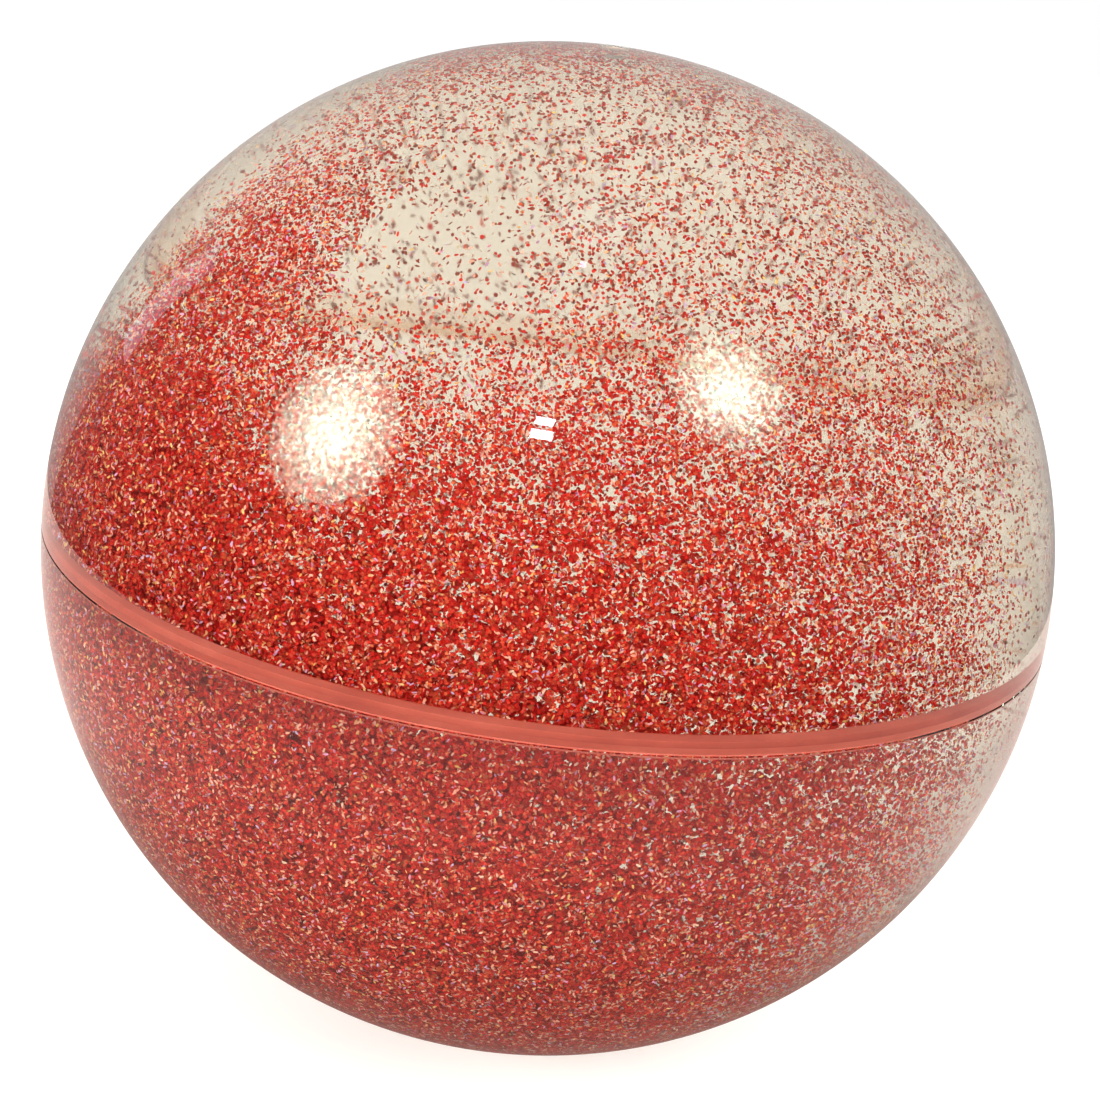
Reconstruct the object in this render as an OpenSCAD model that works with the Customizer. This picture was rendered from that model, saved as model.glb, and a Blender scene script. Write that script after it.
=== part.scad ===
// Clear bouncy ball filled with liquid and red glitter.
// The origin is the centre of the ball, and +Z runs through the fill plug at the top.
// Two thick moulded half shells meet at the XY plane in a tongue and groove rim, bonded all round.

/* [Ball] */
// Diameter of the finished ball
ball_d = 100; // [70:1:120]
// Thickness of the clear wall
wall_t = 6.2; // [5:0.1:9]

/* [Rim joint] */
// Width of the tongue round the rim of the upper shell
tongue_w = 2.0; // [1:0.1:3]
// Height of that tongue
tongue_h = 0.5; // [0.3:0.1:2]
// Thickness of the bond film between the two rims
bond_t = 0.2; // [0.1:0.05:0.4]
// How far the film stops short of the outside, which leaves the fine parting groove
groove_depth = 0.25; // [0.1:0.05:0.6]

/* [Fill plug] */
// Diameter of the plug's head, which shows as a small disc at the top
plug_head_d = 2.7; // [2.3:0.1:5]
// Depth of the head
plug_head_h = 1.4; // [0.8:0.1:3]
// Diameter of the stem that closes the fill hole
plug_stem_d = 1.6; // [0.8:0.1:2]
// How far the flat head sits below the crown of the ball
plug_sink = 0.12; // [0.05:0.01:0.3]

/* [Liquid] */
// Gap that lets the liquid and its glitter swirl inside the shells
swirl_gap = 0.2; // [0.1:0.05:0.5]

/* [Glitter] */
// Width of one hexagonal flake across its corners
flake_d = 0.4; // [0.2:0.05:1]
// Thickness of one flake
flake_t = 0.05; // [0.03:0.01:0.15]
// Number of flakes that cling to the wall all round
wall_count = 360; // [100:10:400]
// Number of layers of flakes from the wall to the middle of the liquid
layer_count = 9; // [4:1:10]
// How far a flake strays inwards from its layer, as a share of the step to the next one
stray_share = 0.5; // [0:0.1:1]
// Of the flakes that would hang in the clear hollow, one in this many stays there
loose_every = 2; // [2:1:12]
// Of all the flakes, one in this many is pale
pale_every = 5; // [3:1:12]

/* [Clear hollow] */
// The flakes crowd round an egg of clear liquid. Its sizes are in radii of the liquid.
// How far the middle of the egg lies to the right of the ball's centre
hollow_right_share = 0.36; // [0:0.02:0.5]
// How far it lies behind the centre
hollow_back_share = 0.35; // [0:0.05:0.5]
// How far it lies below the centre
hollow_below_share = 0.12; // [0:0.02:0.3]
// Turn of the egg's long way, from straight back towards the right
hollow_turn = 39; // [0:1:90]
// Dip of its long way below level
hollow_dip = 36; // [0:1:60]
// Half its length
hollow_half_l_share = 1.45; // [1.2:0.05:1.7]
// Half its width
hollow_half_w_share = 0.92; // [0.7:0.02:1]
// Half its height
hollow_half_h_share = 0.85; // [0.7:0.05:1]

/* [Hidden] */

// Overrun of every cut past the faces that it opens
over = 0.5;

// The wall, from the outside in
outer_r = ball_d / 2;
cavity_r = outer_r - wall_t;
rim_mid_r = (outer_r + cavity_r) / 2;

// The tongue, and the groove that takes it with the bond film all round
tongue_in_r = rim_mid_r - tongue_w / 2;
tongue_out_r = rim_mid_r + tongue_w / 2;
slot_in_r = tongue_in_r - bond_t;
slot_out_r = tongue_out_r + bond_t;
rim_top_z = bond_t / 2;
rim_bottom_z = -bond_t / 2;
tongue_end_z = rim_top_z - tongue_h - bond_t;
slot_end_z = tongue_end_z - bond_t;

// The plug's seat in the crown
plug_top_z = outer_r - plug_sink;
plug_seat_z = plug_top_z - plug_head_h;

// The liquid, and the ball of space that holds the flakes' centres
liquid_r = cavity_r - swirl_gap;
flake_reach_r = liquid_r - flake_d;

// The middle of the hollow, and the headings of its length, width and height
hollow_middle_shares = [hollow_right_share, hollow_back_share, -hollow_below_share];
hollow_length_way = [
    sin(hollow_turn) * cos(hollow_dip),
    cos(hollow_turn) * cos(hollow_dip),
    -sin(hollow_dip),
];
hollow_width_way = [cos(hollow_turn), -sin(hollow_turn), 0];
hollow_height_way = cross(hollow_length_way, hollow_width_way);

// Turns and a share that never repeat, from one flake or one layer to the next
golden_turn = 180 * (3 - sqrt(5));
tilt_turn = 360 * (sqrt(3) - 1);
stray_step_share = sqrt(2) - 1;

module round_face(smooth = 128) {
    $fn = smooth;
    children();
}

// A flat ring from one radius to another between two heights
module ring(in_r, out_r, low_z, high_z) {
    translate([0, 0, low_z])
        difference() {
            cylinder(r = out_r, h = high_z - low_z);
            translate([0, 0, -over])
                cylinder(r = in_r, h = high_z - low_z + 2 * over);
        }
}

// The hollow ball before it is parted
module hollow_ball() {
    difference() {
        sphere(r = outer_r);
        sphere(r = cavity_r);
    }
}

// The part of the hollow ball between two heights
module ball_slice(low_z, high_z) {
    intersection() {
        hollow_ball();
        translate([0, 0, low_z])
            cylinder(r = outer_r + over, h = high_z - low_z);
    }
}

// The space of the plug, from the cavity to the crown
module plug_space(top_z) {
    translate([0, 0, plug_seat_z])
        cylinder(d = plug_head_d, h = top_z - plug_seat_z);
    translate([0, 0, cavity_r - over])
        cylinder(d = plug_stem_d, h = plug_seat_z - cavity_r + 2 * over);
}

module upper_shell() {
    color([0.93, 0.90, 0.84, 0.35])
        round_face()
            difference() {
                union() {
                    ball_slice(rim_top_z, outer_r + over);
                    ring(tongue_in_r, tongue_out_r, tongue_end_z, rim_top_z + over);
                }
                plug_space(outer_r + over);
            }
}

module lower_shell() {
    color([0.93, 0.84, 0.80, 0.35])
        round_face()
            difference() {
                ball_slice(-outer_r - over, rim_bottom_z);
                ring(slot_in_r, slot_out_r, slot_end_z, rim_bottom_z + over);
            }
}

// The film lies flat between the rims and lines the groove round the tongue
module seam_bond() {
    color([0.80, 0.42, 0.34])
        round_face()
            difference() {
                union() {
                    intersection() {
                        ball_slice(rim_bottom_z, rim_top_z);
                        sphere(r = outer_r - groove_depth);
                    }
                    ring(slot_in_r, slot_out_r, slot_end_z, rim_top_z);
                }
                ring(tongue_in_r, tongue_out_r, tongue_end_z, rim_top_z + over);
            }
}

module fill_plug() {
    color([0.80, 0.74, 0.68, 0.6])
        round_face()
            difference() {
                plug_space(plug_top_z);
                sphere(r = cavity_r);
            }
}

module liquid_fill() {
    color([0.90, 0.84, 0.72, 0.4])
        round_face()
            sphere(r = liquid_r);
}

function frac(value) = value - floor(value);

// How far out of the hollow's middle a place lies, where 1 is the hollow's edge
function hollow_reach(place) =
    let (out = place - hollow_middle_shares)
    norm([
        out * hollow_length_way / hollow_half_l_share,
        out * hollow_width_way / hollow_half_w_share,
        out * hollow_height_way / hollow_half_h_share,
    ]);

// Place i of n on an even spiral round a ball of radius 1, which starts at a heading
function spiral_place(i, n, start) =
    let (up = 1 - (2 * i + 1) / n, level = sqrt(1 - up * up), turn = start + i * golden_turn)
    [level * cos(turn), level * sin(turn), up];

// The flakes of one layer, in shares of the ball of space. The layer at the wall is whole, and
// further in they stay in the crowd, with a few loose ones in the hollow.
function layer_places(layer) =
    let (out = 1 - layer / layer_count, n = ceil(wall_count * out * out))
    [
        for (i = [0 : n - 1])
            let (
                strayed = stray_share * frac(i * stray_step_share) / layer_count,
                place = (out - strayed) * spiral_place(i, n, layer * tilt_turn)
            )
                if (layer == 0 || hollow_reach(place) > 1 || i % loose_every == 0) place
    ];

flake_place_shares = [for (layer = [0 : layer_count - 1]) each layer_places(layer)];
last_flake = len(flake_place_shares) - 1;

// Hexagonal flakes that hang in the liquid, each turned its own way
module flakes(chosen) {
    for (i = chosen)
        translate(flake_reach_r * flake_place_shares[i])
            rotate([i * tilt_turn, i * golden_turn, 0])
                cylinder(d = flake_d, h = flake_t, center = true, $fn = 6);
}

module glitter_red() {
    color([0.72, 0.05, 0.05])
        flakes([for (i = [0 : last_flake]) if (i % pale_every > 0) i]);
}

module glitter_pale() {
    color([0.95, 0.78, 0.80])
        flakes([0 : pale_every : last_flake]);
}

upper_shell();
lower_shell();
seam_bond();
fill_plug();
liquid_fill();
glitter_red();
glitter_pale();
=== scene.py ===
# A clear bouncy ball: two thick half shells bonded at the rim, filled with liquid and red glitter.
import math

import bpy
import numpy as np
from mathutils import Matrix, Vector


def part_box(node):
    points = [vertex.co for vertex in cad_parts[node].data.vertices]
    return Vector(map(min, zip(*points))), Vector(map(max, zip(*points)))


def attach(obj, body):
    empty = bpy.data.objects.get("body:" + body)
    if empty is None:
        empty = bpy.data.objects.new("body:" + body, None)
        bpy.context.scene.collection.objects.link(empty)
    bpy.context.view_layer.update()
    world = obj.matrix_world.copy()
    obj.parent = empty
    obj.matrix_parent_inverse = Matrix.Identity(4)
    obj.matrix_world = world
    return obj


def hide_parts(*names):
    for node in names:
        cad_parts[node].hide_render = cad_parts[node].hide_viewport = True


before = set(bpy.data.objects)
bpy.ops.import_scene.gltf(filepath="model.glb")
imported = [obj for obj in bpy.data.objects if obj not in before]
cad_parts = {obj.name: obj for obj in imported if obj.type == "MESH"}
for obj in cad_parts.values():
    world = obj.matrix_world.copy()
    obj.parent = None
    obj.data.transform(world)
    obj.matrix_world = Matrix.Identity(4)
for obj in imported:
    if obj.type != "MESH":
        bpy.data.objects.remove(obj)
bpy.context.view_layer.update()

# The ball's own sizes, from the frame
OUTER_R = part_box("upper_shell")[1].x
LIQUID_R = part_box("liquid_fill")[1].x
FILM_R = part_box("seam_bond")[1].x
TONGUE_END_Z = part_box("upper_shell")[0].z
SLOT_END_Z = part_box("seam_bond")[0].z
BOND_T = 2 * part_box("seam_bond")[1].z
PLUG_HEAD_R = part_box("fill_plug")[1].x
PLUG_TOP_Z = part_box("fill_plug")[1].z

# Sizes inside the solids, which repeat the part's source
SWIRL_GAP = 0.0002
CAVITY_R = LIQUID_R + SWIRL_GAP
TONGUE_W = 0.0020
PLUG_HEAD_H = 0.0014
PLUG_STEM_R = 0.0008
RIM_MID_R = (OUTER_R + CAVITY_R) / 2
TONGUE_IN_R = RIM_MID_R - TONGUE_W / 2
TONGUE_OUT_R = RIM_MID_R + TONGUE_W / 2
SLOT_IN_R = TONGUE_IN_R - BOND_T
SLOT_OUT_R = TONGUE_OUT_R + BOND_T
PLUG_SEAT_Z = PLUG_TOP_Z - PLUG_HEAD_H
# How far the film's faces lie inside the rims, so that the two never share a plane
FILM_SKIN = 0.00001

# How finely the turned pieces are made
TURN_STEPS = 256
ARC_STEPS = 96

# The photograph's viewpoint, in the ball's own frame
VIEW_ELEVATION = 17.9
VIEW_ROLL = 7.65
VIEW_DISTANCE = 4.13 * OUTER_R
PHOTO_SIDE_PX = 1100
BALL_X_PX, BALL_Y_PX, BALL_R_PX = 547.9, 548.3, 507.4

# Bends light as the clear soft plastic does
CLEAR_IOR = 1.48


def heading(azimuth, elevation):
    """The unit vector at an azimuth from the front, positive to the right, and an elevation."""
    a, e = math.radians(azimuth), math.radians(elevation)
    return Vector((math.sin(a) * math.cos(e), -math.cos(a) * math.cos(e), math.sin(e)))


# Node helpers


def fresh_material(name):
    mat = bpy.data.materials.new(name)
    mat.use_nodes = True
    mat.node_tree.nodes.clear()
    out = mat.node_tree.nodes.new("ShaderNodeOutputMaterial")
    return mat, mat.node_tree, out


def add(tree, kind, **settings):
    node = tree.nodes.new(kind)
    for name, value in settings.items():
        setattr(node, name, value)
    return node


def ramp(tree, stops):
    node = add(tree, "ShaderNodeValToRGB")
    points = node.color_ramp.elements
    points[0].position, points[0].color = stops[0][0], (*stops[0][1], 1)
    points[1].position, points[1].color = stops[-1][0], (*stops[-1][1], 1)
    for place, colour in stops[1:-1]:
        points.new(place).color = (*colour, 1)
    return node


def new_group(name, inputs, output, kind="NodeSocketFloat"):
    """An empty shader group with named inputs and one named output, all of one kind."""
    group = bpy.data.node_groups.new(name, "ShaderNodeTree")
    for label in inputs:
        group.interface.new_socket(label, in_out="INPUT", socket_type=kind)
    group.interface.new_socket(output, in_out="OUTPUT", socket_type=kind)
    return group, add(group, "NodeGroupInput"), add(group, "NodeGroupOutput")


def build_mottle():
    """Cloudy patches, from 0 to 1, that stay with the piece's own shape."""
    group, given, out = new_group("mottle", ["Scale", "Detail"], "Amount")
    place = add(group, "ShaderNodeTexCoord")
    noise = add(group, "ShaderNodeTexNoise")
    group.links.new(place.outputs["Object"], noise.inputs["Vector"])
    group.links.new(given.outputs["Scale"], noise.inputs["Scale"])
    group.links.new(given.outputs["Detail"], noise.inputs["Detail"])
    group.links.new(noise.outputs["Fac"], out.inputs["Amount"])
    return group


def build_fall_off():
    """How far from the middle a place lies, where 1 is the reach. The noise makes its rings ragged."""
    group, given, out = new_group("fall_off", ["Reach", "Ragged", "Scale"], "Share")
    place = add(group, "ShaderNodeTexCoord")
    length = add(group, "ShaderNodeVectorMath", operation="LENGTH")
    group.links.new(place.outputs["Object"], length.inputs[0])
    share = add(group, "ShaderNodeMath", operation="DIVIDE")
    group.links.new(length.outputs["Value"], share.inputs[0])
    group.links.new(given.outputs["Reach"], share.inputs[1])
    noise = add(group, "ShaderNodeTexNoise")
    group.links.new(place.outputs["Object"], noise.inputs["Vector"])
    group.links.new(given.outputs["Scale"], noise.inputs["Scale"])
    middle = add(group, "ShaderNodeMath", operation="SUBTRACT")
    middle.inputs[1].default_value = 0.5
    group.links.new(noise.outputs["Fac"], middle.inputs[0])
    stray = add(group, "ShaderNodeMath", operation="MULTIPLY_ADD")
    group.links.new(middle.outputs[0], stray.inputs[0])
    group.links.new(given.outputs["Ragged"], stray.inputs[1])
    group.links.new(share.outputs[0], stray.inputs[2])
    group.links.new(stray.outputs[0], out.inputs["Share"])
    return group


def build_painted_shade():
    """The film's colour, mixed toward a dark brown by painted shade, as far as the flake's height on the
    map says.
    """
    group, given, out = new_group("painted_shade", ["Film Color", "Dull Color"], "Color", "NodeSocketColor")
    place = add(group, "ShaderNodeUVMap", uv_map="OFBake")
    parts = add(group, "ShaderNodeSeparateXYZ")
    group.links.new(place.outputs["UV"], parts.inputs["Vector"])
    # Painted shade: the lower the flake's height on the map, the more of the dark brown it gets, as if
    # it lay in shadow
    levels = ((0.0, 0.0), (0.3, 0.18), (0.5, 0.6), (0.75, 0.9), (1.0, 1.0))
    level = ramp(group, [(p, (v, v, v)) for p, v in levels])
    group.links.new(parts.outputs["Y"], level.inputs["Fac"])
    shade = add(group, "ShaderNodeMix", data_type="RGBA", blend_type="MIX")
    group.links.new(level.outputs["Color"], shade.inputs["Factor"])
    group.links.new(given.outputs["Dull Color"], shade.inputs["A"])
    group.links.new(given.outputs["Film Color"], shade.inputs["B"])
    group.links.new(shade.outputs["Result"], out.inputs["Color"])
    return group


MOTTLE = build_mottle()
FALL_OFF = build_fall_off()
PAINTED_SHADE = build_painted_shade()


def place_group(tree, group, **values):
    """Places a group with its own values; a name's underscore stands for a space."""
    node = add(tree, "ShaderNodeGroup", node_tree=group)
    for name, value in values.items():
        node.inputs[name.replace("_", " ")].default_value = value
    return node


def shines(tree, out, strength):
    """A face that only shines. Its Emission Color is still to be set or linked."""
    face = add(tree, "ShaderNodeBsdfPrincipled")
    face.inputs["Base Color"].default_value = (0, 0, 0, 1)
    face.inputs["Specular IOR Level"].default_value = 0.0
    face.inputs["Emission Strength"].default_value = strength
    tree.links.new(face.outputs[0], out.inputs["Surface"])
    return face.inputs["Emission Color"]


def lamps_pass(tree, shader):
    """Light from the lamps goes straight through this surface, and the eye sees the shader."""
    path = add(tree, "ShaderNodeLightPath")
    clear = add(tree, "ShaderNodeBsdfTransparent")
    mix = add(tree, "ShaderNodeMixShader")
    tree.links.new(path.outputs["Is Shadow Ray"], mix.inputs["Fac"])
    tree.links.new(shader.outputs[0], mix.inputs[1])
    tree.links.new(clear.outputs[0], mix.inputs[2])
    return mix


# Materials


def polished_clear():
    """The moulded outside of the shells: clear, polished, faintly cream, with soft flow marks."""
    mat, tree, out = fresh_material("polished_clear_plastic")
    body = add(tree, "ShaderNodeBsdfPrincipled")
    body.inputs["Transmission Weight"].default_value = 1.0
    body.inputs["IOR"].default_value = CLEAR_IOR
    tint = ramp(tree, [(0.3, (0.955, 0.945, 0.915)), (0.7, (0.975, 0.965, 0.935))])
    gloss = add(tree, "ShaderNodeMapRange")
    gloss.inputs["To Min"].default_value = 0.0
    gloss.inputs["To Max"].default_value = 0.02
    flow = place_group(tree, MOTTLE, Scale=60.0, Detail=2.0)
    tree.links.new(flow.outputs["Amount"], tint.inputs["Fac"])
    tree.links.new(flow.outputs["Amount"], gloss.inputs["Value"])
    tree.links.new(tint.outputs["Color"], body.inputs["Base Color"])
    tree.links.new(gloss.outputs["Result"], body.inputs["Roughness"])
    swell = place_group(tree, MOTTLE, Scale=35.0, Detail=1.0)
    bump = add(tree, "ShaderNodeBump")
    bump.inputs["Strength"].default_value = 0.05
    bump.inputs["Distance"].default_value = 0.001
    tree.links.new(swell.outputs["Amount"], bump.inputs["Height"])
    tree.links.new(bump.outputs["Normal"], body.inputs["Normal"])
    body.inputs["Sheen Tint"].default_value = (0.66, 0.68, 0.66, 1)
    place = add(tree, "ShaderNodeTexCoord")
    parts = add(tree, "ShaderNodeSeparateXYZ")
    tree.links.new(place.outputs["Object"], parts.inputs["Vector"])
    settled = add(tree, "ShaderNodeMapRange")
    settled.inputs["From Min"].default_value = -0.2 * OUTER_R
    settled.inputs["From Max"].default_value = 0.4 * OUTER_R
    settled.inputs["To Max"].default_value = 0.25
    tree.links.new(parts.outputs["Z"], settled.inputs["Value"])
    tree.links.new(settled.outputs["Result"], body.inputs["Sheen Weight"])
    body.inputs["Sheen Roughness"].default_value = 0.32
    seen = lamps_pass(tree, body)
    tree.links.new(seen.outputs[0], out.inputs["Surface"])
    return mat


def wetted_joint():
    """The faces of the rim joint and the plug's seat: wetted all over, so they only tint the light."""
    mat, tree, out = fresh_material("wetted_joint")
    veil = add(tree, "ShaderNodeBsdfTransparent")
    veil.inputs["Color"].default_value = (0.985, 0.98, 0.97, 1)
    tree.links.new(veil.outputs[0], out.inputs["Surface"])
    return mat


def clear_liquid():
    """The liquid wets the wall, so its surface neither bends nor mirrors light and only tints it."""
    mat, tree, out = fresh_material("clear_liquid")
    veil = add(tree, "ShaderNodeBsdfTransparent")
    tint = ramp(tree, [(0.35, (0.795, 0.76, 0.70)), (0.65, (0.775, 0.74, 0.68))])
    place = add(tree, "ShaderNodeTexCoord")
    cloud = add(tree, "ShaderNodeTexNoise")
    cloud.inputs["Scale"].default_value = 25.0
    tree.links.new(place.outputs["Object"], cloud.inputs["Vector"])
    tree.links.new(cloud.outputs["Fac"], tint.inputs["Fac"])
    tree.links.new(tint.outputs["Color"], veil.inputs["Color"])
    tree.links.new(veil.outputs[0], out.inputs["Surface"])
    return mat


def hazy_inside():
    """The moulded inside of the shells: less polished, and only just denser than the liquid."""
    mat, tree, out = fresh_material("moulded_inner_wall")
    body = add(tree, "ShaderNodeBsdfPrincipled")
    body.inputs["Transmission Weight"].default_value = 1.0
    body.inputs["IOR"].default_value = 1.06
    tint = ramp(tree, [(0.35, (0.988, 0.982, 0.968)), (0.65, (0.982, 0.976, 0.96))])
    grain = ramp(tree, [(0.3, (0.11, 0.11, 0.11)), (0.7, (0.15, 0.15, 0.15))])
    cloud = place_group(tree, MOTTLE, Scale=25.0, Detail=2.0)
    tree.links.new(cloud.outputs["Amount"], tint.inputs["Fac"])
    tree.links.new(cloud.outputs["Amount"], grain.inputs["Fac"])
    tree.links.new(tint.outputs["Color"], body.inputs["Base Color"])
    tree.links.new(grain.outputs["Color"], body.inputs["Roughness"])
    seen = lamps_pass(tree, body)
    tree.links.new(seen.outputs[0], out.inputs["Surface"])
    return mat


def bond_film():
    """The bond film: cloudy salmon at the front, a painted glow standing in for the glitter's red light
    on it, and nearly clear at the back.
    """
    mat, tree, out = fresh_material("bond_film_painted_glow")
    body = add(tree, "ShaderNodeBsdfPrincipled")
    mottle = place_group(tree, MOTTLE, Scale=180.0, Detail=4.0)
    tint = ramp(
        tree,
        [(0.25, (0.38, 0.058, 0.036)), (0.5, (0.46, 0.082, 0.052)), (0.8, (0.53, 0.118, 0.080))],
    )
    tree.links.new(mottle.outputs["Amount"], tint.inputs["Fac"])
    tree.links.new(tint.outputs["Color"], body.inputs["Base Color"])
    body.inputs["Roughness"].default_value = 0.45
    bump = add(tree, "ShaderNodeBump")
    bump.inputs["Strength"].default_value = 0.2
    bump.inputs["Distance"].default_value = 0.0001
    tree.links.new(mottle.outputs["Amount"], bump.inputs["Height"])
    tree.links.new(bump.outputs["Normal"], body.inputs["Normal"])
    place = add(tree, "ShaderNodeTexCoord")
    parts = add(tree, "ShaderNodeSeparateXYZ")
    tree.links.new(place.outputs["Object"], parts.inputs["Vector"])
    # Painted light: the film is salmon at the front and fades to nearly clear toward the back
    painted_glow_fade = add(tree, "ShaderNodeMapRange")
    painted_glow_fade.inputs["From Min"].default_value = -0.5 * CAVITY_R
    painted_glow_fade.inputs["From Max"].default_value = 0.4 * CAVITY_R
    painted_glow_fade.inputs["To Min"].default_value = 0.08
    painted_glow_fade.inputs["To Max"].default_value = 0.985
    tree.links.new(parts.outputs["Y"], painted_glow_fade.inputs["Value"])
    clear = add(tree, "ShaderNodeBsdfTransparent")
    clear.inputs["Color"].default_value = (1.0, 0.97, 0.95, 1)
    film = add(tree, "ShaderNodeMixShader")
    tree.links.new(painted_glow_fade.outputs["Result"], film.inputs["Fac"])
    tree.links.new(body.outputs[0], film.inputs[1])
    tree.links.new(clear.outputs[0], film.inputs[2])
    tree.links.new(film.outputs[0], out.inputs["Surface"])
    return mat


def plug_rubber():
    mat, tree, out = fresh_material("plug_rubber")
    body = add(tree, "ShaderNodeBsdfPrincipled")
    grain = place_group(tree, MOTTLE, Scale=900.0, Detail=3.0)
    tint = ramp(tree, [(0.3, (0.42, 0.30, 0.24)), (0.7, (0.62, 0.50, 0.42))])
    tree.links.new(grain.outputs["Amount"], tint.inputs["Fac"])
    tree.links.new(tint.outputs["Color"], body.inputs["Base Color"])
    body.inputs["Roughness"].default_value = 0.45
    tree.links.new(body.outputs[0], out.inputs["Surface"])
    return mat


def film_flakes(name, stops, metal, roughness):
    """Metallised film. The flake's place on the map picks its tint and how much painted shade darkens
    it.
    """
    mat, tree, out = fresh_material(name)
    body = add(tree, "ShaderNodeBsdfPrincipled")
    place = add(tree, "ShaderNodeUVMap", uv_map="OFBake")
    parts = add(tree, "ShaderNodeSeparateXYZ")
    tree.links.new(place.outputs["UV"], parts.inputs["Vector"])
    tint = ramp(tree, stops)
    tree.links.new(parts.outputs["X"], tint.inputs["Fac"])
    # Painted shade: the dark brown that the flake's colour is mixed toward
    painted_shade = place_group(tree, PAINTED_SHADE, Dull_Color=(0.30, 0.125, 0.105, 1))
    tree.links.new(tint.outputs["Color"], painted_shade.inputs["Film Color"])
    tree.links.new(painted_shade.outputs["Color"], body.inputs["Base Color"])
    body.inputs["Metallic"].default_value = metal
    body.inputs["Roughness"].default_value = roughness
    body.inputs["Specular IOR Level"].default_value = 0.12
    tree.links.new(body.outputs[0], out.inputs["Surface"])
    return mat


# Pieces turned about the ball's axis


def arc(radius, start_r, end_r, up, steps=ARC_STEPS):
    """Points of a circle about the centre, from one distance off the axis to another, above or below."""
    first, last = math.asin(start_r / radius), math.asin(end_r / radius)
    angles = [first + (last - first) * i / steps for i in range(steps + 1)]
    return [(radius * math.sin(a), up * radius * math.cos(a)) for a in angles]


def at_height(radius, z):
    """How far off the axis a ball of this radius is at height z."""
    return math.sqrt(radius * radius - z * z)


def turned(name, stretches, materials, closed):
    """A solid of turning. Each stretch of its outline is (points, material, round)."""
    outline, finish, rounded = [], [], []
    for points, slot, is_round in stretches:
        for p in points[:-1]:
            outline.append(p)
            finish.append(slot)
            rounded.append(is_round)
    if not closed:
        outline.append(stretches[-1][0][-1])
    after = outline[1:] + outline[:1]
    upwards_outside = sum(r0 * z1 - r1 * z0 for (r0, z0), (r1, z1) in zip(outline, after)) > 0
    verts, rings = [], []
    for r, z in outline:
        count = TURN_STEPS if r > 1e-9 else 1
        rings.append((len(verts), count))
        for k in range(count):
            a = 2 * math.pi * k / TURN_STEPS
            verts.append((r * math.cos(a), r * math.sin(a), z))
    faces, slots, is_ball = [], [], []
    runs = len(outline) if closed else len(outline) - 1
    for i in range(runs):
        (a0, na), (b0, nb) = rings[i], rings[(i + 1) % len(rings)]
        for k in range(TURN_STEPS):
            k2 = (k + 1) % TURN_STEPS
            if na == 1:
                face = (a0, b0 + k2, b0 + k)
            elif nb == 1:
                face = (a0 + k, a0 + k2, b0)
            else:
                face = (a0 + k, a0 + k2, b0 + k2, b0 + k)
            faces.append(face if upwards_outside else face[::-1])
            slots.append(finish[i])
            is_ball.append(rounded[i])
    mesh = bpy.data.meshes.new(name)
    mesh.from_pydata(verts, [], faces)
    for m in materials:
        mesh.materials.append(m)
    mesh.polygons.foreach_set("material_index", slots)
    true_normals(mesh, np.array(is_ball))
    piece = bpy.data.objects.new(name, mesh)
    bpy.context.scene.collection.objects.link(piece)
    return piece


def true_normals(mesh, is_ball):
    """Shades the round faces as a true ball and the rest flat."""
    mesh.shade_smooth()
    count = len(mesh.loops)
    vertex = np.empty(count, np.int32)
    mesh.loops.foreach_get("vertex_index", vertex)
    places = np.empty(len(mesh.vertices) * 3)
    mesh.vertices.foreach_get("co", places)
    places = places.reshape(-1, 3)[vertex]
    facing = np.empty(len(mesh.polygons) * 3)
    mesh.polygons.foreach_get("normal", facing)
    sizes = np.empty(len(mesh.polygons), np.int32)
    mesh.polygons.foreach_get("loop_total", sizes)
    facing = np.repeat(facing.reshape(-1, 3), sizes, axis=0)
    outward = places / np.linalg.norm(places, axis=1)[:, None]
    outward *= np.sign((outward * facing).sum(1))[:, None]
    wanted = np.where(np.repeat(is_ball, sizes)[:, None], outward, facing)
    mesh.normals_split_custom_set(wanted.tolist())


def make_upper_shell(clear, inside, wetted):
    rim_z = BOND_T / 2
    outer = arc(OUTER_R, PLUG_HEAD_R, at_height(OUTER_R, rim_z), 1)
    inner = arc(CAVITY_R, at_height(CAVITY_R, rim_z), PLUG_STEM_R, 1)
    rim = [
        outer[-1],
        (TONGUE_OUT_R, rim_z),
        (TONGUE_OUT_R, TONGUE_END_Z),
        (TONGUE_IN_R, TONGUE_END_Z),
        (TONGUE_IN_R, rim_z),
        inner[0],
    ]
    bore = [
        inner[-1],
        (PLUG_STEM_R, PLUG_SEAT_Z),
        (PLUG_HEAD_R, PLUG_SEAT_Z),
        outer[0],
    ]
    stretches = [(outer, 0, True), (rim, 2, False), (inner, 1, True), (bore, 2, False)]
    piece = turned("upper_shell_clear", stretches, [clear, inside, wetted], True)
    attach(piece, "shell")
    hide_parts("upper_shell")
    return piece


def make_lower_shell(clear, inside, wetted):
    rim_z = -BOND_T / 2
    outer = arc(OUTER_R, 0.0, at_height(OUTER_R, rim_z), -1)
    inner = arc(CAVITY_R, at_height(CAVITY_R, rim_z), 0.0, -1)
    rim = [
        outer[-1],
        (SLOT_OUT_R, rim_z),
        (SLOT_OUT_R, SLOT_END_Z),
        (SLOT_IN_R, SLOT_END_Z),
        (SLOT_IN_R, rim_z),
        inner[0],
    ]
    stretches = [(outer, 0, True), (rim, 2, False), (inner, 1, True)]
    piece = turned("lower_shell_clear", stretches, [clear, inside, wetted], False)
    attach(piece, "shell")
    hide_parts("lower_shell")
    return piece


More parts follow.
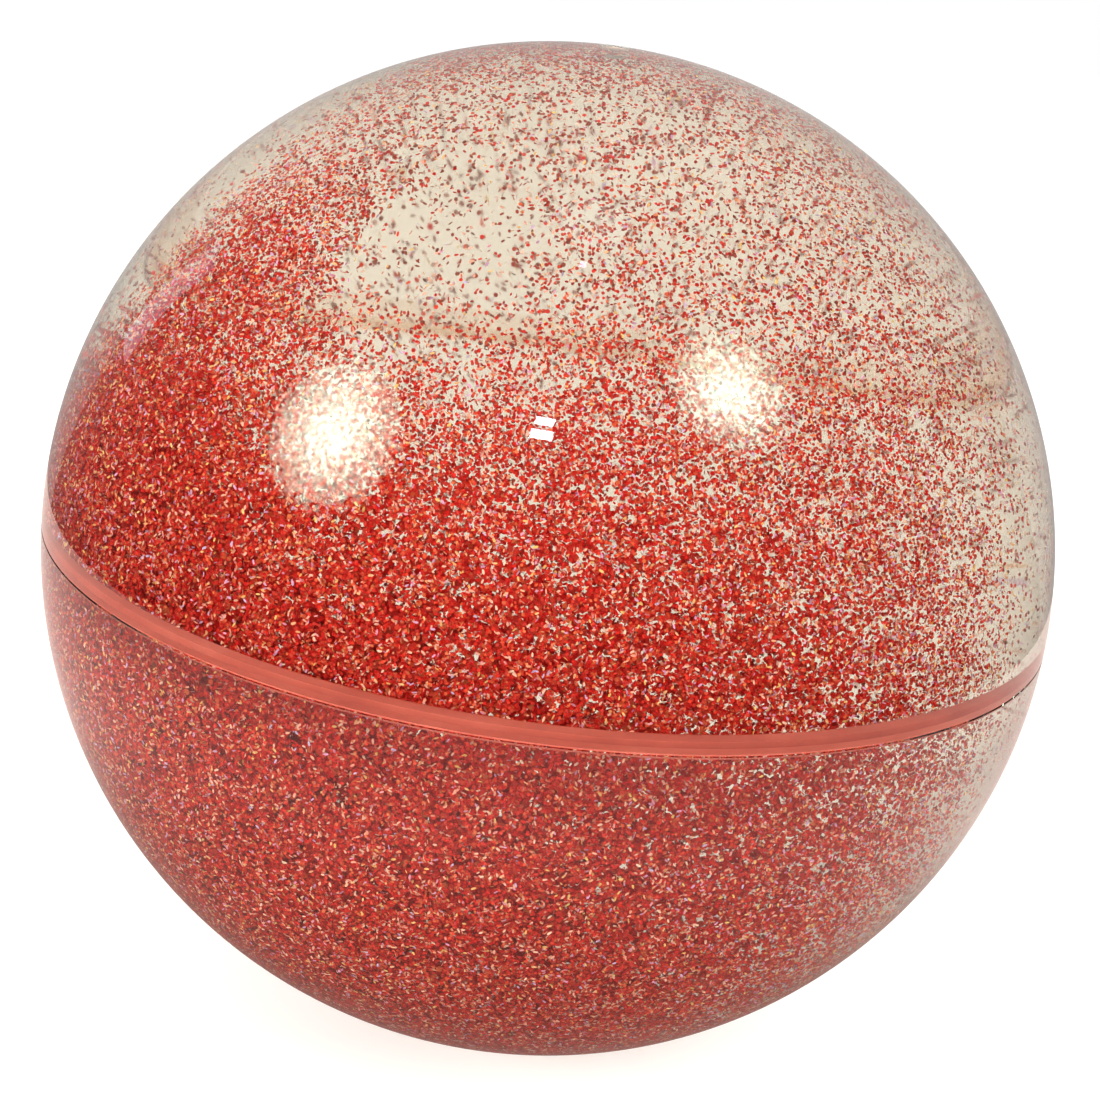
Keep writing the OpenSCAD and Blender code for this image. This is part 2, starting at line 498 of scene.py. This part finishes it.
def make_bond(film):
    skin = FILM_SKIN
    top, low = BOND_T / 2 - skin, skin - BOND_T / 2
    inner_top, inner_low = at_height(CAVITY_R, top), at_height(CAVITY_R, low)
    section = [
        (inner_top, top),
        (TONGUE_IN_R - skin, top),
        (TONGUE_IN_R - skin, TONGUE_END_Z - skin),
        (TONGUE_OUT_R + skin, TONGUE_END_Z - skin),
        (TONGUE_OUT_R + skin, top),
        (FILM_R, top),
        (FILM_R, low),
        (SLOT_OUT_R - skin, low),
        (SLOT_OUT_R - skin, SLOT_END_Z + skin),
        (SLOT_IN_R + skin, SLOT_END_Z + skin),
        (SLOT_IN_R + skin, low),
        (inner_low, low),
        (inner_top, top),
    ]
    piece = turned("rim_bond_film", [(section, 0, False)], [film], True)
    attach(piece, "shell")
    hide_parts("seam_bond")
    return piece


def make_plug(rubber):
    chamfer = 0.00012
    foot_z = at_height(CAVITY_R, PLUG_STEM_R)
    section = [
        (0.0, PLUG_TOP_Z - chamfer),
        (PLUG_STEM_R, PLUG_TOP_Z - chamfer),
        (PLUG_HEAD_R - 2 * chamfer, PLUG_TOP_Z),
        (PLUG_HEAD_R - chamfer, PLUG_TOP_Z),
        (PLUG_HEAD_R, PLUG_TOP_Z - chamfer),
        (PLUG_HEAD_R, PLUG_SEAT_Z),
        (PLUG_STEM_R, PLUG_SEAT_Z),
        (PLUG_STEM_R, foot_z),
        (0.0, CAVITY_R),
    ]
    piece = turned("fill_plug_rubber", [(section, 0, False)], [rubber], False)
    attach(piece, "shell")
    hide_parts("fill_plug")
    return piece


def make_liquid(clear):
    upper = arc(LIQUID_R, 0.0, LIQUID_R, 1)
    lower = arc(LIQUID_R, LIQUID_R, 0.0, -1)
    piece = turned("liquid_clear", [(upper, 0, True), (lower, 0, True)], [clear], False)
    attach(piece, "liquid")
    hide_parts("liquid_fill")
    return piece


# Glitter

# The clear hollow that the flakes crowd round: an egg, in liquid radii, whose long way leads
# down at the back right
HOLLOW_CENTRE = (0.36, 0.35, -0.12)
HOLLOW_AZIMUTH = 141
HOLLOW_ELEVATION = -36
HOLLOW_HALF_LENGTH = 1.45
HOLLOW_HALF_WIDTH = 0.92
HOLLOW_HALF_HEIGHT = 0.85
# How suddenly the crowd thins out at the hollow
HOLLOW_EDGE = 28
# Wisps where the crowd gathers and pockets where it thins: azimuth, elevation and half width
# in degrees, how much, and how deep. The last two clear the left behind the middle and the back.
WISPS = [
    (3, 57, 8, 0.18, 0.003),
    (12, 51, 7, 0.14, 0.003),
    (-6, 67, 7, 0.08, 0.003),
    (4, 29, 9, 0.35, 0.003),
    (9, 34, 6, 0.25, 0.003),
    (-29, 45, 10, -0.5, 0.02),
    (-55, 44, 11, 0.8, 0.005),
    (-115, 31, 16.2, -60, 0.012),
    (-160, 3, 10, -60, 0.010),
]
# How much of the view each mm of the fullest crowd, and of nearly clear liquid, hides
FULL_COVER_PER_MM = 0.34
DRIFT_COVER_PER_MM = 0.0010
# Loose flakes that cling to the wall all round
CLINGING_PER_MM2 = 1.4
CLINGING_DEPTH = 0.0010
CLINGING_LENGTH = 0.00047
# How many places are tried for each of them, and the share that clings more at the left
CLINGING_TRIES = 2.5
LEFT_CLINGING = 0.6
# A flake in the crowd and a loose one, and the depth over which the crowd's clump
FLAKE_D = 0.000275
LOOSE_D = 0.00040
CLUMP_DEPTH = 0.0036
MOST_CLUMPED = 3.4
# The area of a hexagon one unit across its corners, with the mean of the flakes' spread of sizes
HEXAGON_AREA = 0.6495 * 0.866
# The width of a sliver as a share of its length
SLIVER = 0.45
PALE_LENGTH = 0.00048
# How much smaller and larger than its size a flake can be
SIZE_SPREAD = (0.75, 1.1)
# The share of pale flakes deep in the liquid, what the wall and its left and right add, and
# how deep that reaches
DEEP_PALE = 0.04
WALL_PALE = 0.38
SIDE_PALE = 0.2
WALL_PALE_DEPTH = 0.0014
WALL_GAP = 0.0003
# The waves of the crowd's swirls, and how wide and how strong they are in the cloud and at the wall
SWIRL_WAVES = 24
CLOUD_SWIRL, CLOUD_SWIRL_PULL = 0.004, 0.35
CLINGING_SWIRL, CLINGING_SWIRL_PULL = 0.006, 0.8
# How much of a tumbling flake's face the eye meets, and what a full crowd adds
TUMBLING_FACE, BEDDED_FACE = 0.5, 0.28
# How flat the pale and the red flakes lie
PALE_LEAN, RED_LEAN = 0.4, 1.1
# The share of pale flakes that flash at the very side, and their stretch of the tint map
FLASHING_SHARE = 0.75
FLASH_TINT, FLASH_TINTS = 0.6, 0.38
# The share of loose red flakes painted bright, as if they caught the light
PAINTED_BRIGHT_SHARE = 0.1
# Half the width of a flake's spot on the tint map
MAP_SPOT = 0.012
FLAKES_PER_PIECE = 48000


def swirls(places, rng, waves, size):
    """A smooth wandering value from about -1 to 1, made of a few waves of about this size."""
    total = np.zeros(len(places))
    for _ in range(waves):
        way = rng.normal(size=3)
        way *= 2 * math.pi / (size * np.linalg.norm(way) * rng.uniform(0.6, 1.6))
        total += np.sin(places @ way + rng.uniform(0, 2 * math.pi))
    return total / math.sqrt(waves)


def any_direction(rng, count):
    v = rng.normal(size=(count, 3))
    return v / np.linalg.norm(v, axis=1)[:, None]


def wisps(places):
    """How much thicker or thinner the glitter is here than the plain hollow makes it."""
    out = np.linalg.norm(places, axis=1)
    total = np.zeros(len(places))
    for azimuth, elevation, width, much, reach in WISPS:
        near = places @ np.array(heading(azimuth, elevation)) / out
        angle = np.degrees(np.arccos(np.clip(near, -1, 1)))
        total += much * np.exp(-((angle / width) ** 2) - ((LIQUID_R - out) / reach) ** 2)
    return total


def crowding(places):
    """From 0 in clear liquid to 1 where the settled cloud is fullest."""
    length = heading(HOLLOW_AZIMUTH, HOLLOW_ELEVATION)
    width = heading(HOLLOW_AZIMUTH + 90, 0)
    height = width.cross(length)
    halves = (HOLLOW_HALF_LENGTH, HOLLOW_HALF_WIDTH, HOLLOW_HALF_HEIGHT)
    out = places / LIQUID_R - np.array(HOLLOW_CENTRE)
    reach = sum((out @ np.array(way) / half) ** 2 for way, half in zip((length, width, height), halves))
    crowd = 1 / (1 + np.exp(np.clip(HOLLOW_EDGE * (1 - reach), -50, 50)))
    return np.clip(crowd + wisps(places), 0, 1)


def flake_size(places, crowd):
    """How far across a flake or a clump is: small near the wall, larger deep in a crowd."""
    depth = LIQUID_R - np.linalg.norm(places, axis=1)
    clumped = 1 + crowd**6 * np.minimum((depth / CLUMP_DEPTH) ** 2, MOST_CLUMPED - 1)
    return (LOOSE_D + (FLAKE_D - LOOSE_D) * crowd) * clumped


def flatness(crowd):
    """How much of a flake's face the eye meets: half when it tumbles, more where it beds on others."""
    return TUMBLING_FACE + BEDDED_FACE * crowd


def scatter(rng):
    """Places for the flakes, how crowded each place is, and how long and how slim a flake it holds."""
    smallest = HEXAGON_AREA * (FLAKE_D * 1000) ** 2
    most_per_mm3 = FULL_COVER_PER_MM / (smallest * flatness(1))
    most_per_mm3 += DRIFT_COVER_PER_MM / (smallest * flatness(0))
    volume = 4 / 3 * math.pi * (LIQUID_R * 1000) ** 3
    count = int(volume * most_per_mm3)
    places = any_direction(rng, count)
    places *= ((LIQUID_R - WALL_GAP) * rng.random(count) ** (1 / 3))[:, None]
    crowd = crowding(places)
    size = flake_size(places, crowd)
    cover = FULL_COVER_PER_MM * crowd + DRIFT_COVER_PER_MM
    per_mm3 = cover / (HEXAGON_AREA * (size * 1000) ** 2 * flatness(crowd))
    chance = rng.random(count)
    swirl = 1 + CLOUD_SWIRL_PULL * swirls(places, rng, SWIRL_WAVES, CLOUD_SWIRL)
    kept = chance < per_mm3 / most_per_mm3 * swirl

    area = 4 * math.pi * (LIQUID_R * 1000) ** 2
    clinging = int(area * CLINGING_PER_MM2 * CLINGING_TRIES)
    near = any_direction(rng, clinging)
    near *= (LIQUID_R - WALL_GAP - CLINGING_DEPTH * rng.random(clinging))[:, None]
    bare = (1 - crowding(near)) * (1 + LEFT_CLINGING * np.maximum(-near[:, 0] / LIQUID_R, 0))
    chance = rng.random(clinging)
    swirl = 1 + CLINGING_SWIRL_PULL * swirls(near, rng, SWIRL_WAVES, CLINGING_SWIRL)
    near = near[chance < bare / CLINGING_TRIES * swirl]
    return (
        np.concatenate([places[kept], near]),
        np.concatenate([crowd[kept], crowding(near)]),
        np.concatenate([size[kept], np.full(len(near), CLINGING_LENGTH)]),
        np.concatenate([np.ones(kept.sum()), np.full(len(near), SLIVER)]),
    )


def hexagons(name, rng, material, places, facing, size, slim, tint, shade):
    """One mesh of flat hexagonal flakes, each at its place on the tint map."""
    count = len(places)
    side = np.cross(facing, any_direction(rng, count))
    side /= np.linalg.norm(side, axis=1)[:, None]
    across = np.cross(facing, side)
    half = size / 2 * rng.uniform(*SIZE_SPREAD, count)
    verts = np.empty((count, 6, 3), np.float32)
    dots = np.empty((count, 6, 2), np.float32)
    for k in range(6):
        c, s = math.cos(k * math.pi / 3), math.sin(k * math.pi / 3)
        verts[:, k] = places + half[:, None] * (c * side + s * slim[:, None] * across)
        dots[:, k, 0] = tint + MAP_SPOT * c
        dots[:, k, 1] = shade + MAP_SPOT * s
    mesh = bpy.data.meshes.new(name)
    mesh.vertices.add(count * 6)
    mesh.vertices.foreach_set("co", verts.ravel())
    mesh.loops.add(count * 6)
    mesh.loops.foreach_set("vertex_index", np.arange(count * 6, dtype=np.int32))
    mesh.polygons.add(count)
    mesh.polygons.foreach_set("loop_start", np.arange(0, count * 6, 6, dtype=np.int32))
    layer = mesh.uv_layers.new(name="OFBake")
    layer.uv.foreach_set("vector", dots.ravel())
    mesh.materials.append(material)
    mesh.update()
    piece = bpy.data.objects.new(name, mesh)
    bpy.context.scene.collection.objects.link(piece)
    return piece


def make_flakes(red, pale):
    rng = np.random.default_rng(1)
    places, crowd, size, slim = scatter(rng)
    out = np.linalg.norm(places, axis=1)
    wall = places / out[:, None]
    # The left and right sides have more pale flakes, and the right side the most
    side = np.abs(wall[:, 0]) ** np.where(wall[:, 0] > 0, 1.2, 2)
    at_wall = np.exp(-(((LIQUID_R - out) / WALL_PALE_DEPTH) ** 2))
    pale_share = DEEP_PALE + (WALL_PALE + SIDE_PALE * side) * at_wall
    is_pale = rng.random(len(places)) < pale_share
    # Pale flakes are slivers, and they lie less flat than the red ones, which bed on each other
    size = np.where(is_pale, PALE_LENGTH, size)
    slim = np.where(is_pale, SLIVER, slim)
    lean = np.where(is_pale, PALE_LEAN, RED_LEAN) * np.maximum(crowd, slim < 1)
    tumble = any_direction(rng, len(places))
    facing = tumble + lean[:, None] * wall
    facing /= np.linalg.norm(facing, axis=1)[:, None]
    # More of the pale flakes flash in colours round the sides
    tint = rng.uniform(0.02, 0.98, len(places))
    flashing = is_pale & (rng.random(len(places)) < FLASHING_SHARE * side)
    tint = np.where(flashing, FLASH_TINT + FLASH_TINTS * tint, tint)
    # Painted light and shade: loose red flakes get a dark level, as if in shadow; the crowded ones and a
    # share of loose ones get a bright level, as if lit
    bright = rng.random(len(places)) < PAINTED_BRIGHT_SHARE
    lit = rng.uniform(0.02, 0.38, len(places)) + np.where(bright, 0.5, 0.5 * np.sqrt(crowd))
    shade = np.where(is_pale, rng.uniform(0.75, 0.98, len(places)), lit)
    for kind, chosen, material in (("red", ~is_pale, red), ("pale", is_pale, pale)):
        chosen = np.flatnonzero(chosen)
        for n, start in enumerate(range(0, len(chosen), FLAKES_PER_PIECE), 1):
            part = chosen[start : start + FLAKES_PER_PIECE]
            name = f"glitter_{kind}_{n}"
            of_part = (a[part] for a in (places, facing, size, slim, tint, shade))
            piece = hexagons(name, rng, material, *of_part)
            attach(piece, "liquid")
            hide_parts(f"glitter_{kind}")


# Studio

# How far out the paper is mirrored pale in the lower half of the ball
NEAR_FLOOR_R = 0.20
FLOOR_R = 2.0
# The unlit room and the small cards that only the polished shell mirrors
ROOM_R = 1.5
CARD_R = 1.2
# The lamps' faces as the polished shell mirrors them
GLOW_COLOUR = (0.68, 1.0, 0.78)
GLOW_MOST = 30
# How far a lamp's face reaches past its glow, whose edge is ragged
FACE_MARGIN = 1.25
# The mirrored floor lies this far above the paper
MIRROR_GAP = 0.0005


def set_camera():
    forward = -heading(0, VIEW_ELEVATION)
    level = Vector((1, 0, 0))
    upright = level.cross(forward)
    roll = math.radians(VIEW_ROLL)
    up = math.cos(roll) * upright - math.sin(roll) * level
    right = math.sin(roll) * upright + math.cos(roll) * level
    data = bpy.data.cameras.new("view")
    data.sensor_width = 36.0
    ball_tan = 1 / math.sqrt((VIEW_DISTANCE / OUTER_R) ** 2 - 1)
    half_tan = ball_tan * (PHOTO_SIDE_PX / 2) / BALL_R_PX
    data.lens = data.sensor_width / 2 / half_tan
    data.shift_x = (PHOTO_SIDE_PX / 2 - BALL_X_PX) / PHOTO_SIDE_PX
    data.shift_y = (BALL_Y_PX - PHOTO_SIDE_PX / 2) / PHOTO_SIDE_PX
    data.clip_start = 0.01
    camera = bpy.data.objects.new("view", data)
    turn = Matrix((right, up, -forward)).transposed().to_4x4()
    camera.matrix_world = Matrix.Translation(-forward * VIEW_DISTANCE) @ turn
    bpy.context.scene.collection.objects.link(camera)
    bpy.context.scene.camera = camera


def seen_directly(tree, strength):
    """This strength for what the camera, a mirror or clear plastic sees, and none for plain lighting."""
    path = add(tree, "ShaderNodeLightPath")
    seen = add(tree, "ShaderNodeMath", operation="ADD")
    also = add(tree, "ShaderNodeMath", operation="ADD", use_clamp=True)
    scaled = add(tree, "ShaderNodeMath", operation="MULTIPLY")
    tree.links.new(path.outputs["Is Camera Ray"], seen.inputs[0])
    tree.links.new(path.outputs["Is Glossy Ray"], seen.inputs[1])
    tree.links.new(seen.outputs[0], also.inputs[0])
    tree.links.new(path.outputs["Is Transmission Ray"], also.inputs[1])
    tree.links.new(also.outputs[0], scaled.inputs[0])
    scaled.inputs[1].default_value = strength
    return scaled.outputs[0]


def set_world():
    world = bpy.data.worlds.new("studio")
    world.use_nodes = True
    world.cycles.sampling_method = "NONE"
    tree = world.node_tree
    tree.nodes.clear()
    out = add(tree, "ShaderNodeOutputWorld")
    sky = add(tree, "ShaderNodeBackground")
    sky.inputs["Color"].default_value = (1, 1, 1, 1)
    tree.links.new(sky.outputs[0], out.inputs["Surface"])
    bpy.context.scene.world = world


def stage_mesh(name, verts, faces, material, glossy_only):
    mesh = bpy.data.meshes.new(name)
    mesh.from_pydata(verts, [], faces)
    mesh.materials.append(material)
    thing = bpy.data.objects.new(name, mesh)
    bpy.context.scene.collection.objects.link(thing)
    if glossy_only:
        thing.visible_camera = False
        thing.visible_diffuse = False
        thing.visible_transmission = False
        thing.visible_shadow = False
    return thing


def disc(radius, steps=64):
    turns = [2 * math.pi * k / steps for k in range(steps)]
    return [(radius * math.cos(a), radius * math.sin(a), 0) for a in turns], [tuple(range(steps))]


def set_floor():
    """White paper: it keeps the ball's shadow, and the eye sees its open parts as plain white."""
    mat, tree, out = fresh_material("white_paper")
    paper = add(tree, "ShaderNodeBsdfDiffuse")
    paper.inputs["Color"].default_value = (0.85, 0.85, 0.85, 1)
    lift = add(tree, "ShaderNodeEmission")
    tree.links.new(seen_directly(tree, 0.2), lift.inputs["Strength"])
    both = add(tree, "ShaderNodeAddShader")
    tree.links.new(paper.outputs[0], both.inputs[0])
    tree.links.new(lift.outputs[0], both.inputs[1])
    tree.links.new(both.outputs[0], out.inputs["Surface"])
    verts, faces = disc(FLOOR_R, 96)
    floor = stage_mesh("floor", verts, faces, mat, False)
    floor.location.z = -OUTER_R


def glow(name, stops, reach):
    """A lamp's face: light that falls off from its middle to its edge."""
    mat, tree, out = fresh_material(name)
    share = place_group(tree, FALL_OFF, Reach=reach, Ragged=0.8, Scale=70.0)
    level = ramp(tree, [(p, [c * v / GLOW_MOST for c in GLOW_COLOUR]) for p, v in stops])
    tree.links.new(share.outputs["Share"], level.inputs["Fac"])
    weave = place_group(tree, MOTTLE, Scale=90.0, Detail=1.0)
    threads = add(tree, "ShaderNodeMapRange")
    threads.inputs["From Min"].default_value = 0.35
    threads.inputs["From Max"].default_value = 0.65
    threads.inputs["To Min"].default_value = 0.55
    threads.inputs["To Max"].default_value = 1.45
    tree.links.new(weave.outputs["Amount"], threads.inputs["Value"])
    woven = add(tree, "ShaderNodeVectorMath", operation="SCALE")
    tree.links.new(level.outputs["Color"], woven.inputs[0])
    tree.links.new(threads.outputs["Result"], woven.inputs["Scale"])
    tree.links.new(woven.outputs["Vector"], shines(tree, out, GLOW_MOST))
    return mat


def soft_lamp(name, place, size, watts, colour):
    """A round soft light that shines from its place at the ball's centre."""
    data = bpy.data.lights.new(name, "AREA")
    data.shape = "DISK"
    data.size = size
    data.energy = watts
    data.color = colour
    light = bpy.data.objects.new(name, data)
    light.location = place
    light.rotation_mode = "QUATERNION"
    light.rotation_quaternion = Vector(place).to_track_quat("Z", "Y")
    light.visible_glossy = False
    light.visible_transmission = False
    bpy.context.scene.collection.objects.link(light)


def set_umbrella(name, place, radius, stops, watts):
    """A round lamp: its face shows in the polished shell, and a soft light shines from it."""
    verts, faces = disc(FACE_MARGIN * radius)
    face = stage_mesh(name, verts, faces, glow(name + "_face", stops, radius), True)
    face.location = place
    face.rotation_mode = "QUATERNION"
    face.rotation_quaternion = Vector(place).to_track_quat("Z", "Y")
    soft_lamp(name + "_light", place, 2 * radius, watts, (1.0, 0.95, 0.86))


def set_table_bounce():
    """Soft light from low in front, as a pale table top throws back."""
    soft_lamp("table_bounce", heading(0, 2) * 0.7, 0.5, 5.3, (1.0, 0.95, 0.90))


def mirrored_card(name, colour, verts, faces, strength=1.0):
    """A plain lit card that only the polished shell mirrors."""
    mat, tree, out = fresh_material(name)
    shines(tree, out, strength).default_value = (*colour, 1)
    stage_mesh(name, verts, faces, mat, True)


def glow_card(name, colour, strength, corners):
    """A small bright card, given by the headings of its corners."""
    verts = [tuple(heading(az, el) * CARD_R) for az, el in corners]
    mirrored_card(name, colour, verts, [tuple(range(len(verts)))], strength)


def curved_screen(profile, first, last, steps=64):
    """A screen round the ball between two azimuths, with a profile of distances and heights."""
    verts, faces = [], []
    for r, z in profile:
        for i in range(steps + 1):
            a = math.radians(first + (last - first) * i / steps)
            verts.append((r * math.sin(a), -r * math.cos(a), z))
    for j in range(len(profile) - 1):
        for i in range(steps):
            a = j * (steps + 1) + i
            faces.append((a, a + 1, a + steps + 2, a + steps + 1))
    return verts, faces


def mirrored_floor():
    """The paper near the ball as the shell mirrors it: red in the ball's shade, and pale further out."""
    mat, tree, out = fresh_material("mirrored_paper")
    share = place_group(tree, FALL_OFF, Reach=NEAR_FLOOR_R, Ragged=0.0, Scale=1.0)
    colour = ramp(
        tree,
        [
            (0.08, (0.30, 0.17, 0.15)),
            (0.18, (0.34, 0.21, 0.18)),
            (0.28, (0.50, 0.36, 0.32)),
            (0.42, (0.98, 0.76, 0.70)),
            (1.0, (1.0, 0.82, 0.75)),
        ],
    )
    tree.links.new(share.outputs["Share"], colour.inputs["Fac"])
    tree.links.new(colour.outputs["Color"], shines(tree, out, 1.0))
    verts, faces = curved_screen([(0.012, 0.0), (NEAR_FLOOR_R, 0.0)], -180, 180)
    return stage_mesh("near_floor", verts, faces, mat, True)


def set_surroundings():
    """The unlit room in front of the ball, the grey wall behind it and the shaded floor under it."""
    floor_z = -OUTER_R + MIRROR_GAP
    heights = [math.radians(e) for e in range(0, 88, 4)]
    dome = [(ROOM_R * math.cos(e), ROOM_R * math.sin(e)) for e in heights]
    profile = [(NEAR_FLOOR_R, floor_z), (ROOM_R, floor_z)] + dome
    mirrored_card("dark_room", (0.05, 0.035, 0.035), *curved_screen(profile, -130, 130))
    mirrored_card("grey_wall", (0.32, 0.29, 0.28), *curved_screen(profile, 130, 230))
    near_floor = mirrored_floor()
    near_floor.location.z = floor_z


set_camera()
set_world()
set_floor()
set_surroundings()
LEFT_GLOW = [(0.0, 30), (0.2, 28), (0.4, 18), (0.65, 10), (0.9, 5), (1.0, 0)]
RIGHT_GLOW = [(0.0, 28), (0.3, 19), (0.6, 8), (0.85, 2), (1.0, 0)]
set_umbrella("umbrella_left", (-0.388, -0.292, 0.245), 0.144, LEFT_GLOW, 2.9)
set_umbrella("umbrella_right", (0.272, -0.245, 0.403), 0.125, RIGHT_GLOW, 1.65)
set_table_bounce()
UPPER_FLASH = [(-8.2, 42.2), (-3.0, 42.2), (-2.6, 43.9), (-7.8, 43.9)]
LOWER_FLASH = [(-8.6, 39.2), (-2.6, 39.2), (-2.6, 41.2), (-8.6, 41.2)]
glow_card("flash_upper", (0.85, 0.8, 1.0), 40.0, UPPER_FLASH)
glow_card("flash_lower", (0.85, 0.8, 1.0), 40.0, LOWER_FLASH)
glow_card("window_streak", (0.75, 0.78, 1.0), 1.1, [(-128, 5), (-121, 5), (-117, 24), (-124, 24)])
glow_card("pink_glint", (1.0, 0.3, 0.6), 20.0, [(-6, 78), (0, 78), (0, 79.4), (-6, 79.4)])

shell_clear = polished_clear()
wall_inside = hazy_inside()
joint_wetted = wetted_joint()
make_upper_shell(shell_clear, wall_inside, joint_wetted)
make_lower_shell(shell_clear, wall_inside, joint_wetted)
make_bond(bond_film())
make_plug(plug_rubber())
make_liquid(clear_liquid())
red_film = film_flakes(
    "red_film_flakes",
    [
        (0.0, (0.64, 0.008, 0.008)),
        (0.5, (0.84, 0.022, 0.020)),
        (0.75, (0.96, 0.060, 0.038)),
        (0.88, (1.0, 0.16, 0.07)),
        (1.0, (1.0, 0.32, 0.14)),
    ],
    0.2,
    0.35,
)
pale_film = film_flakes(
    "pale_film_flakes",
    [
        (0.0, (1.0, 0.36, 0.29)),
        (0.35, (1.0, 0.74, 0.64)),
        (0.6, (1.0, 0.48, 0.42)),
        (0.7, (1.0, 0.74, 0.25)),
        (0.8, (1.0, 0.42, 0.36)),
        (0.9, (0.85, 0.42, 0.80)),
        (1.0, (0.55, 0.60, 1.0)),
    ],
    0.15,
    0.3,
)
make_flakes(red_film, pale_film)

scene = bpy.context.scene
scene.view_settings.view_transform = "Standard"
scene.cycles.max_bounces = 16
scene.cycles.diffuse_bounces = 6
scene.cycles.glossy_bounces = 6
scene.cycles.transmission_bounces = 16
scene.cycles.transparent_max_bounces = 24
bpy.context.view_layer.update()
